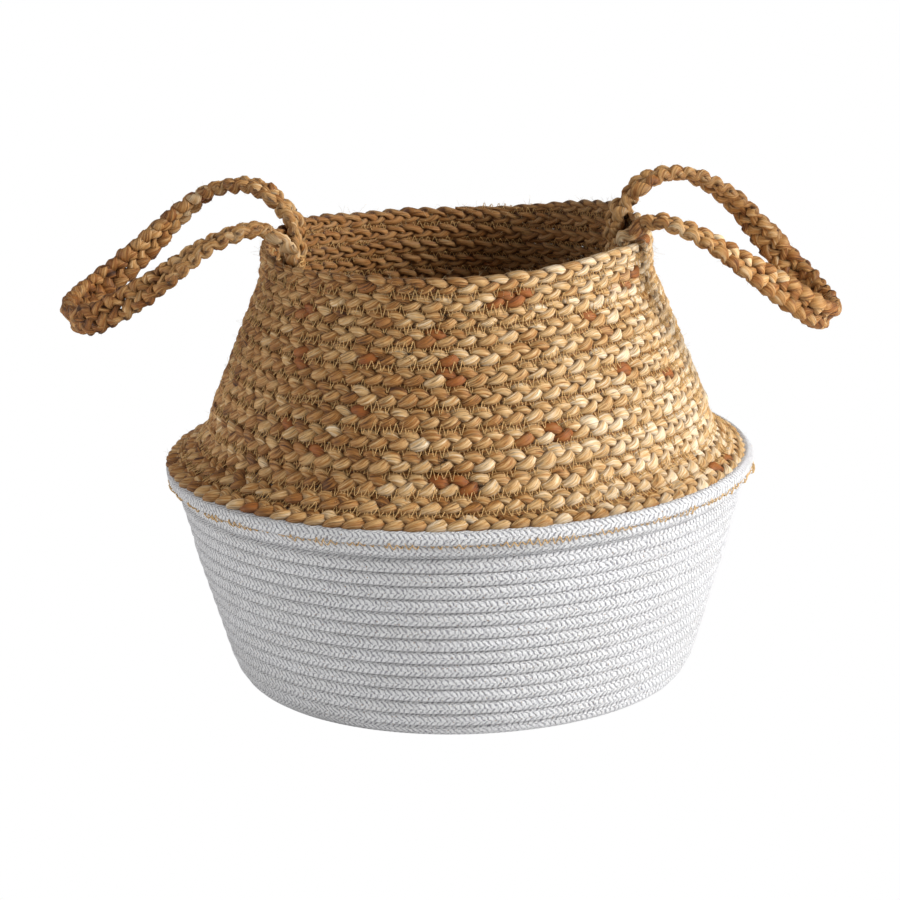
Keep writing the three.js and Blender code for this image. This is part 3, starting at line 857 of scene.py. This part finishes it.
GROOVE_STEP = 2.0
GROOVE_TURNS = BRAID_TURNS - 1.02
GROOVE_FILL = (1.7, 1.1)
MIDDLE_FILL = (3.2, 0.5)
FILL_SIDES = 6
FILL_GIRTH = 8
# The fillers carry a share of painted crevice shade
FILL_VALUES = {"tint": 0.3, "rust_and_bounce": 0.1, "painted_crevice_shade": 0.3}


def groove_at(turn):
    return wall_length_at(turn) + (wall_length_at(turn + 1) - wall_length_at(turn)) / 2


def edge_fibres():
    """The groove's filler, and the middle's, which starts above the lip."""
    groove = Tube(*wall_frame(groove_at(groove_turn), groove_turn), *GROOVE_FILL, FILL_SIDES)
    above_lip = np.flatnonzero(braid_turn > 1)[::2]
    frame_above = (part[above_lip] for part in braid_frame)
    wide, thick = MIDDLE_FILL
    wide = (wide * braid_width * braid_spread)[above_lip]
    middle = Tube(*frame_above, wide, thick, FILL_SIDES)
    for tube in (groove, middle):
        tube.values = {key: np.full(len(tube.points), x) for key, x in FILL_VALUES.items()}
        scaled_uv(tube, FILL_GIRTH)
    return groove, middle


groove_turn, groove_places = evenly(GROOVE_TURNS, GROOVE_STEP, groove_at)
edges = build_piece(
    "jute_edge_fibres", edge_fibres(), jute, "mouth", "jute_braid", "jute_wall"
)
give_when_pressed(edges)


# Zigzag stitching: in the grooves outside and inside, and at the waist. Each has its reach
# to a side, the heights of its thread, and the thread's radius and sides

STITCH = 2.1
PIERCED_SHARES = np.array([0.0, 0.12, 0.5, 0.88])
REACH_WANDER = 0.35
HEIGHT_WANDER = 1.2
STEP_WANDER = 0.25
OUTSIDE_STITCHES = (3.1, (1.2, 3.1, 2.5), 0.26, 3)
INSIDE_STITCHES = (2.0, (-1.2, -2.3, -1.5), 0.26, 3)
WAIST_STITCHES = (1.7, (2.4, 3.7, 3.9), 0.34, 4)
WAIST_ROUGHNESS = 1.7
WAIST_RISE = 4.2


def zigzag(turn, places, length_at, reach, heights, radius, sides, rough=1.0):
    """A thread that goes from side to side of a groove: heights are those of the thread
    where it pierces, beside that, and in the groove."""
    pierce, beside, middle = heights
    count = int(places[-1] / STITCH)
    to_side = ((-1.0) ** np.arange(count))[:, None]
    along = (np.arange(count)[:, None] + PIERCED_SHARES).ravel() * STITCH
    across = (np.cos(PIERCED_SHARES * math.pi) * reach * to_side).ravel()
    across = across * (1 + smooth_random(along, STITCH) * REACH_WANDER * rough)
    slack = (smooth_random(along, 9 / rough) - 0.3) * HEIGHT_WANDER * rough
    outward = np.tile([pierce, beside, middle, beside], count) + np.sign(middle) * slack
    along = along + smooth_random(along, STITCH) * STEP_WANDER
    at = np.interp(along, places, turn)
    centres, upward, out = wall_frame(length_at(at), at)
    points = centres + upward * across[:, None] + out * outward[:, None]
    return thread_tube(points, out, radius, sides)


for name, stitches in (("outside", OUTSIDE_STITCHES), ("inside", INSIDE_STITCHES)):
    thread = zigzag(groove_turn, groove_places, groove_at, *stitches)
    stitching = build_piece(
        f"jute_stitching_{name}", [thread], golden_thread, "mouth", "sewing_thread"
    )
    give_when_pressed(stitching)


def waist_length(turn):
    """Just over the groove under the last rope turn."""
    return rope_end - 1.5 * rope_pitch + turn * rope_pitch + WAIST_RISE


waist_turn, waist_places = evenly(1, GROOVE_STEP, waist_length)
waist = zigzag(waist_turn, waist_places, waist_length, *WAIST_STITCHES, rough=WAIST_ROUGHNESS)
build_piece("waist_stitching", [waist], tan_thread, "bowl", "sewing_thread", "waist_seam_thread")


# Handles: a flat braid of five strands, from one tail over the rim and back

HANDLE_LOBE = 9.0
HANDLE_STRANDS = 5
HANDLE_STEP = 1.3
HANDLE_SIDES = 10
HANDLE_SWING = 6.2
HANDLE_RISE = 1.6
HANDLE_WIDE = 3.1
HANDLE_THICK = 2.2
HANDLE_LUMPS = 0.08
PATTERN_SHIFT = 50

# The tails' ends are slimmer over this length: shares of swing, width and thickness
END_LENGTH = 10
END_SWING = 0.6
END_WIDE = 0.7
END_THICK = 0.5

# The handles are darkest round the tip, and paler from one share of the way to another
PALER_AWAY = 0.16
PALER_FROM = 0.15
PALER_TO = 0.45
HANDLE_DARKER = 0.06

# Tails lie on the wall's inner side, whose solid has flat facets
TAIL_RADIUS = 102.97
TAIL_OFFSET = 7.9
TAIL_LENGTH = 52
TAIL_POINTS = 14
FACETS_A_TURN = 24

# Feet turn about a line over the rim
FOOT_AZIMUTH = math.radians(22.5)
FOOT_OVERRUN = 10
FOOT_TOP = (5.91, 4.62)
HINGE_RADIAL = 106.27
HINGE_HEIGHT = 271
HINGE_REACH = HINGE_RADIAL * math.cos(FOOT_AZIMUTH)

# Places from the hinge, reach out and rise, which swings_at_hinge works out but does not use
BEND_FROM = (-4, -5)
BEND_TO = (6, 3)

# Route from foot to turn: reach out from the hinge line, half span, and rise over it
CREST = (11, 42, 10)
PEAK = (23.2, 49.3, 13.3)
SLOPE = (45.5, 56.3, 8)
FALL = (67.3, 56.8, -6.5)
SIDE = (79.4, 53.1, -16.5)
TWIST = (0.2, 0.8)
WIDENING = (0.3, 0.9)
TIP_WIDTH_SHARE = 1.18
TIP_POINTS = 5
CURVE_STEPS = 50

# The two handles end differently: the right one hangs in closer and steeper
HANDLE_ENDS = {
    "left": {"turn": (107.4, 47.4, -37), "tip": (128.5, 0, -47.5), "lean": 33, "sway": 14.2},
    "right": {"turn": (100.5, 45.4, -37), "tip": (120, 0, -55), "lean": 45, "sway": 17.4},
}


def through(points):
    """A smooth curve through the points, with knots by the roots of their spacings."""
    points = np.array(points, float)
    points = np.vstack([2 * points[0] - points[1], points, 2 * points[-1] - points[-2]])
    parts = []
    for a, b, c, d in zip(points, points[1:], points[2:], points[3:]):
        spacings = [np.linalg.norm(step) for step in (b - a, c - b, d - c)]
        knots = np.cumsum([0, *np.sqrt(spacings)])
        t = np.linspace(knots[1], knots[2], CURVE_STEPS)[:, None]

        def between(p, q, low, high):
            return (high - t) / (high - low) * p + (t - low) / (high - low) * q

        first = between(a, b, knots[0], knots[1])
        second = between(b, c, knots[1], knots[2])
        third = between(c, d, knots[2], knots[3])
        early = between(first, second, knots[0], knots[2])
        late = between(second, third, knots[1], knots[3])
        parts.append(between(early, late, knots[1], knots[2]))
    return joined(*parts)


def at_even_steps(points, step):
    along = lengths_of(points)
    places = np.linspace(0, along[-1], int(along[-1] / step) + 1)
    return columns_at(places, along, points)


def tail_points(radial):
    """Up the inside of the wall, from the tail's end to just under the rim's top."""
    lengths = np.linspace(wall_length - TAIL_LENGTH, wall_length, TAIL_POINTS)
    centres, _, outward = wall_frame(lengths, np.zeros(TAIL_POINTS), lift=0)
    radii = np.hypot(centres[:, 0], centres[:, 1])
    inward = np.hypot(outward[:, 0], outward[:, 1])
    reach = (radii - TAIL_OFFSET * inward) * math.cos(math.pi / FACETS_A_TURN)
    height = centres[:, 2] - TAIL_OFFSET * outward[:, 2]
    return radial * reach[:, None] + UP * height[:, None]


def handle_route(side, end):
    """Points from the back tail's end to the tip, and the point where the foot starts."""
    radial = np.array([side * math.cos(FOOT_AZIMUTH), math.sin(FOOT_AZIMUTH), 0])
    turn, tip = np.array(end["turn"]), np.array(end["tip"])

    def place(reach, span, rise):
        return np.array([side * (HINGE_REACH + reach), span, HINGE_HEIGHT + rise])

    tail = tail_points(radial)[:-1]
    foot = radial * TAIL_RADIUS + UP * (HINGE_HEIGHT - FOOT_OVERRUN)
    hinge = radial * HINGE_RADIAL + UP * HINGE_HEIGHT
    route = [foot, hinge, hinge + radial * FOOT_TOP[0] + UP * FOOT_TOP[1]]
    route += [place(*spot) for spot in (CREST, PEAK, SLOPE, FALL, SIDE, turn)]
    for angle in np.linspace(0, math.pi / 2, TIP_POINTS)[1:]:
        spot = turn + (tip - turn) * math.sin(angle)
        spot[1] = turn[1] * math.cos(angle)
        route.append(place(*spot))
    return at_even_steps(through([*tail, *route]), HANDLE_STEP), foot


def carried_along(tangents, first):
    """A section's across direction at each station, carried along unturned."""
    across = np.zeros_like(tangents)
    across[0] = first
    for i in range(1, len(tangents)):
        turned = across[i - 1] - tangents[i] * (across[i - 1] @ tangents[i])
        across[i] = turned / np.linalg.norm(turned)
    return across


def handle_half(side, end):
    """Stations from the back tail's end to the tip, and the length where the tail ends.
    The band twists on its way, and leans out at the tip."""
    points, foot = handle_route(side, end)
    along = lengths_of(points)
    split = along[np.argmin(np.linalg.norm(points - foot, axis=1))]
    past = np.clip((along - split) / (along[-1] - split), 0, 1)
    sway = end["sway"] * np.sin(math.pi * past) ** 2 * (1 - past)
    tangents = tangents_of(points)
    first = (-math.sin(FOOT_AZIMUTH) * side, math.cos(FOOT_AZIMUTH), 0)
    across = carried_along(tangents, first)
    lean = math.radians(end["lean"])
    aim = np.array([side * math.sin(lean), 0, math.cos(lean)])
    last = across[-1]
    twist = math.atan2(np.cross(last, aim) @ tangents[-1], last @ aim)
    twist -= math.pi * round(twist / math.pi)
    angle = (twist * smoothstep(past, *TWIST))[:, None]
    across = across * np.cos(angle) + np.cross(tangents, across) * np.sin(angle)
    width = 1 + (TIP_WIDTH_SHARE - 1) * smoothstep(past, *WIDENING)
    return points, across, sway, width, split


def handle_stations(side, end):
    """Stations of the whole braid, from the back tail's end to the front tail's end."""
    points, across, sway, width, split = handle_half(side, end)
    mirror = np.array([1.0, -1.0, 1.0])
    back = points + UP * sway[:, None]
    front = (points * mirror - UP * sway[:, None])[:-1][::-1]
    centres = np.concatenate([back, front])
    across = np.concatenate([across, (across * mirror)[:-1][::-1]])
    tangents = tangents_of(centres)
    across = square_to(tangents, across)
    width = np.concatenate([width, width[:-1][::-1]])
    return centres, across, np.cross(tangents, across), width, split


def swings_at_hinge(piece, side):
    """Bakes the piece's transform into its mesh. It works out the places between the mouth and
    the loop, where the feet come over the rim, but bends nothing.
    """

    def place(reach, rise):
        x, z = side * (HINGE_REACH + reach), HINGE_HEIGHT + rise
        return x * MILLIMETRE, 0, z * MILLIMETRE

    place(*BEND_FROM)
    place(*BEND_TO)
    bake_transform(piece)


def handle_strands(stations):
    """The braid's strands, each cut into the two tails and the loop between them, which
    reaches a step into both."""
    centres, across, outward, width, split = stations
    places = lengths_of(centres)
    length = places[-1]
    ends = smoothstep(places, 0, END_LENGTH) * smoothstep(length - places, 0, END_LENGTH)
    from_tip = np.abs(2 * places / length - 1)
    parts = {
        "back_tail": places <= split,
        "loop": (places >= split - HANDLE_STEP) & (places <= length - split + HANDLE_STEP),
        "front_tail": places >= length - split,
    }
    tubes = {part: [] for part in parts}
    for k in range(HANDLE_STRANDS):
        weave = Weave(places, HANDLE_STRANDS, HANDLE_LOBE, k, FIVE_LEAF, five_over, rolls=1.0)
        swing = HANDLE_SWING * (np.sin(weave.phase) + 0.06 * np.sin(3 * weave.phase))
        swing = swing * width * tapered(END_SWING, ends)
        rise = HANDLE_RISE * weave.over + smooth_random(places, 8) * 0.25
        wide = HANDLE_WIDE * (1 + weave.plump) * width * tapered(END_WIDE, ends)
        thick = HANDLE_THICK * (1 + weave.plump * 0.6) * tapered(END_THICK, ends)
        paler = smoothstep(from_tip, PALER_FROM, PALER_TO)
        weave.values["tint"] += PALER_AWAY * paler - HANDLE_DARKER
        path, flat, face = strand_frames((centres, across, outward), swing, rise, weave.roll)
        lumps = lumpy(places, HANDLE_SIDES, 5, HANDLE_LUMPS)
        for part, chosen in parts.items():
            values = {key: value[chosen] for key, value in weave.values.items()}
            tube = Tube(
                path[chosen], flat[chosen], face[chosen], wide[chosen], thick[chosen],
                HANDLE_SIDES, JUTE_SQUARENESS, values, lumps[chosen],
            )
            weave.paint_crevice_shade(tube, HANDLE_SIDES, chosen)
            start = places[chosen][0] + k * PATTERN_SHIFT
            tubes[part].append(scaled_uv(tube, HANDLE_GIRTH, start))
    return tubes


LEFT_AND_RIGHT = (("left", -1), ("right", 1))
loop_tubes = {}
for side_name, side in LEFT_AND_RIGHT:
    tubes = handle_strands(handle_stations(side, HANDLE_ENDS[side_name]))
    for part in ("back_tail", "front_tail"):
        name = f"handle_{side_name}_{part}"
        build_piece(f"{name}_braid", tubes[part], handle_jute, "mouth", "handle_braid", name)
    loop_tubes[side_name] = tubes["loop"]
    loop = build_piece(
        f"handle_{side_name}_braid", tubes["loop"], handle_jute, None, "handle_braid",
        f"handle_{side_name}",
    )
    swings_at_hinge(loop, side)


# Lashings: thread over each tail, from edge to edge

LASH_TOP = 12
LASH_PITCH = 3.1
LASH_CROSSINGS = 11
LASH_RADIUS = 0.42
LASH_SIDES = 6
SPINE_STEP = 0.5

# One crossing: its share of the pitch, the reach to a side, and the height over the tail
LASH_ROUTE = ((0, 8.4, -3.0), (0.1, 8.0, 1.5), (0.5, 0, 3.9), (0.9, 8.0, 1.5))


def lashing(side, end):
    azimuth = math.atan2(end * math.sin(FOOT_AZIMUTH), side * math.cos(FOOT_AZIMUTH))
    radial = np.array([math.cos(azimuth), math.sin(azimuth), 0])
    sideways = np.array([-math.sin(azimuth), math.cos(azimuth), 0])
    spine = at_even_steps(tail_points(radial)[::-1], SPINE_STEP)
    along = lengths_of(spine)
    inward = np.cross(sideways, tangents_of(spine))
    points = []
    for k in range(LASH_CROSSINGS):
        for share, reach, height in LASH_ROUTE:
            to_side = math.copysign(1, 0.5 - share) * (-1) ** k
            i = np.searchsorted(along, LASH_TOP + (k + share) * LASH_PITCH)
            points.append(spine[i] + sideways * reach * to_side + inward[i] * height)
    return thread_tube(np.array(points), radial, LASH_RADIUS, LASH_SIDES)


for side_name, side in LEFT_AND_RIGHT:
    for end_name, end in (("back", 1), ("front", -1)):
        name = f"handle_{side_name}_{end_name}_lashing"
        build_piece(
            f"{name}_thread", [lashing(side, end)], golden_thread, "mouth", "sewing_thread", name
        )


# Loose fibres that stand off the jute: how many, the longest, and the radius

WALL_HAIRS = (7500, 5.0, 0.07)
RIM_HAIRS = (1500, 7.0, 0.08)
DARK_HAIRS = (230, 6.0, 0.13)
LONG_DARK_HAIRS = (60, 15.0, 0.08)
HANDLE_HAIRS = (420, 3.2, 0.07)
HAIR_STEPS = np.array([-0.08, 0.3, 0.65, 1.0])
HAIR_TAPER = np.array([1.0, 0.9, 0.7, 0.35])
HAIR_SIDES = 3
HAIR_ASIDE = (0.01, 0.02, 0.03)
RIM_HAIRS_FROM = 252

# Dark tufts stand at these turns, and long dark hairs inside the front of the rim
DARK_TURNS = (8.465, 10.489, 12.466, 12.69, 3.49, 2.51)
DARK_REACH = 3.2
TUFT_RISE = 3
INSIDE_FROM = 258
INSIDE_RADIUS = 111.5
FRONT_TO = -50
LEFTMOST = -50


def fibres(tubes, count, length, radius, choose=None):
    """Short bent hairs from random places on the tubes."""
    points = np.concatenate([tube.points for tube in tubes])
    out = np.concatenate([tube.out for tube in tubes])
    if choose is not None:
        kept = choose(points)
        points, out = points[kept], out[kept]
    picked = rng.randint(0, len(points), count)
    starts, out = points[picked], out[picked]
    drift = unit(rng.normal(0, 1, (count, 3)))
    aim = unit(out * rng.uniform(0.2, 1.0, (count, 1)) + drift * 0.9)
    bow = unit(rng.normal(0, 1, (count, 3))) * rng.uniform(0.1, 0.6, (count, 1))
    sizes = rng.uniform(0.35, 1.0, count) ** 1.6 * length
    hairs = []
    steps = HAIR_STEPS[:, None]
    thin = radius * HAIR_TAPER
    for start, way, curl, size in zip(starts, aim, bow, sizes):
        path = start + size * (steps * way + (steps**2) * curl)
        hairs.append(thread_tube(path, way + curl + HAIR_ASIDE, thin, HAIR_SIDES))
    return hairs


def near_rim(points):
    return points[:, 2] > RIM_HAIRS_FROM


def by_dark_spot(points):
    turns = np.array(DARK_TURNS)
    centres, _, outward = wall_frame(wall_length_at(turns), turns)
    spots = centres + outward * TUFT_RISE
    gaps = np.linalg.norm(points[:, None] - spots, axis=2)
    return np.min(gaps, axis=1) < DARK_REACH


def inside_front_rim(points):
    x, y, z = points.T
    near_top = (z > INSIDE_FROM) & (np.hypot(x, y) < INSIDE_RADIUS)
    return near_top & (y < FRONT_TO) & (x > LEFTMOST)


wall_hairs = fibres(wall_tubes, *WALL_HAIRS)
rim_hairs = fibres(wall_tubes, *RIM_HAIRS, near_rim)
dark_hairs = fibres(wall_tubes, *DARK_HAIRS, by_dark_spot)
dark_hairs += fibres(wall_tubes, *LONG_DARK_HAIRS, inside_front_rim)
for name, hairs, thread in (
    ("wall", wall_hairs, loose_fibre),
    ("rim", rim_hairs, loose_fibre),
    ("dark", dark_hairs, dark_fibre),
):
    fluff = build_piece(f"jute_{name}_fibres", hairs, thread, "mouth", "jute_braid")
    give_when_pressed(fluff)
for side_name, side in LEFT_AND_RIGHT:
    hairs = fibres(loop_tubes[side_name], *HANDLE_HAIRS)
    fluff = build_piece(f"handle_{side_name}_fibres", hairs, loose_fibre, None, "handle_braid")
    swings_at_hinge(fluff, side)


# Light, floor and background, in metres. The camera sees the world and the floor white,
# and the object is lit by a plain level

LIGHT_AIM = (0, 0, 0.14)
KEY = {"place": (1.85, -0.80, 1.15), "size": 0.9, "power": 60}
FILL = {"place": (-2.2, -0.3, 0.5), "size": 1.2, "power": 20}
WORLD_LIGHT = (0.335, 0.335, 0.34, 1)
WHITE = (1, 1, 1, 1)
FLOOR_WHITE = (0.97, 0.97, 0.97, 1)
FLOOR_HALF = 20
FLOOR_DROP = 0.0005


def area_light(name, place, size, power):
    data = bpy.data.lights.new(name, "AREA")
    data.size = size
    data.energy = power
    light = bpy.data.objects.new(name, data)
    bpy.context.collection.objects.link(light)
    light.location = place
    aim = Vector(LIGHT_AIM) - Vector(place)
    light.rotation_euler = aim.to_track_quat("-Z", "Y").to_euler()


def studio_world():
    world = bpy.data.worlds.new("studio")
    bpy.context.scene.world = world
    world.use_nodes = True
    nodes, links = world.node_tree.nodes, world.node_tree.links
    seen = nodes.new("ShaderNodeLightPath")
    shade = nodes.new("ShaderNodeMix")
    shade.data_type = "RGBA"
    shade.inputs[6].default_value = WORLD_LIGHT
    shade.inputs[7].default_value = WHITE
    links.new(seen.outputs["Is Camera Ray"], shade.inputs[0])
    links.new(shade.outputs[2], nodes["Background"].inputs["Color"])


def floor_finish():
    """Plain and pale, and white where the camera sees it."""
    m = Material("pale_floor")
    m.shader.inputs["Base Color"].default_value = FLOOR_WHITE
    m.shader.inputs["Roughness"].default_value = 0.9
    glow = m.node("Emission", {"Strength": 1.0})
    seen = m.node("LightPath", output="Is Camera Ray")
    lit = Signal(m, m.shader.outputs[0])
    surface = m.node("MixShader", {0: seen, 1: lit, 2: glow})
    m.feed(m.tree.nodes["Material Output"].inputs[0], surface)
    return m.material


def pale_floor():
    half, height = FLOOR_HALF, -FLOOR_DROP
    corners = [(-half, -half), (half, -half), (half, half), (-half, half)]
    mesh = bpy.data.meshes.new("floor")
    mesh.from_pydata([(x, y, height) for x, y in corners], [], [(0, 1, 2, 3)])
    mesh.materials.append(floor_finish())
    floor = bpy.data.objects.new("floor", mesh)
    bpy.context.collection.objects.link(floor)


area_light("key", **KEY)
area_light("fill", **FILL)
studio_world()
pale_floor()

bpy.context.scene.view_settings.view_transform = "Standard"
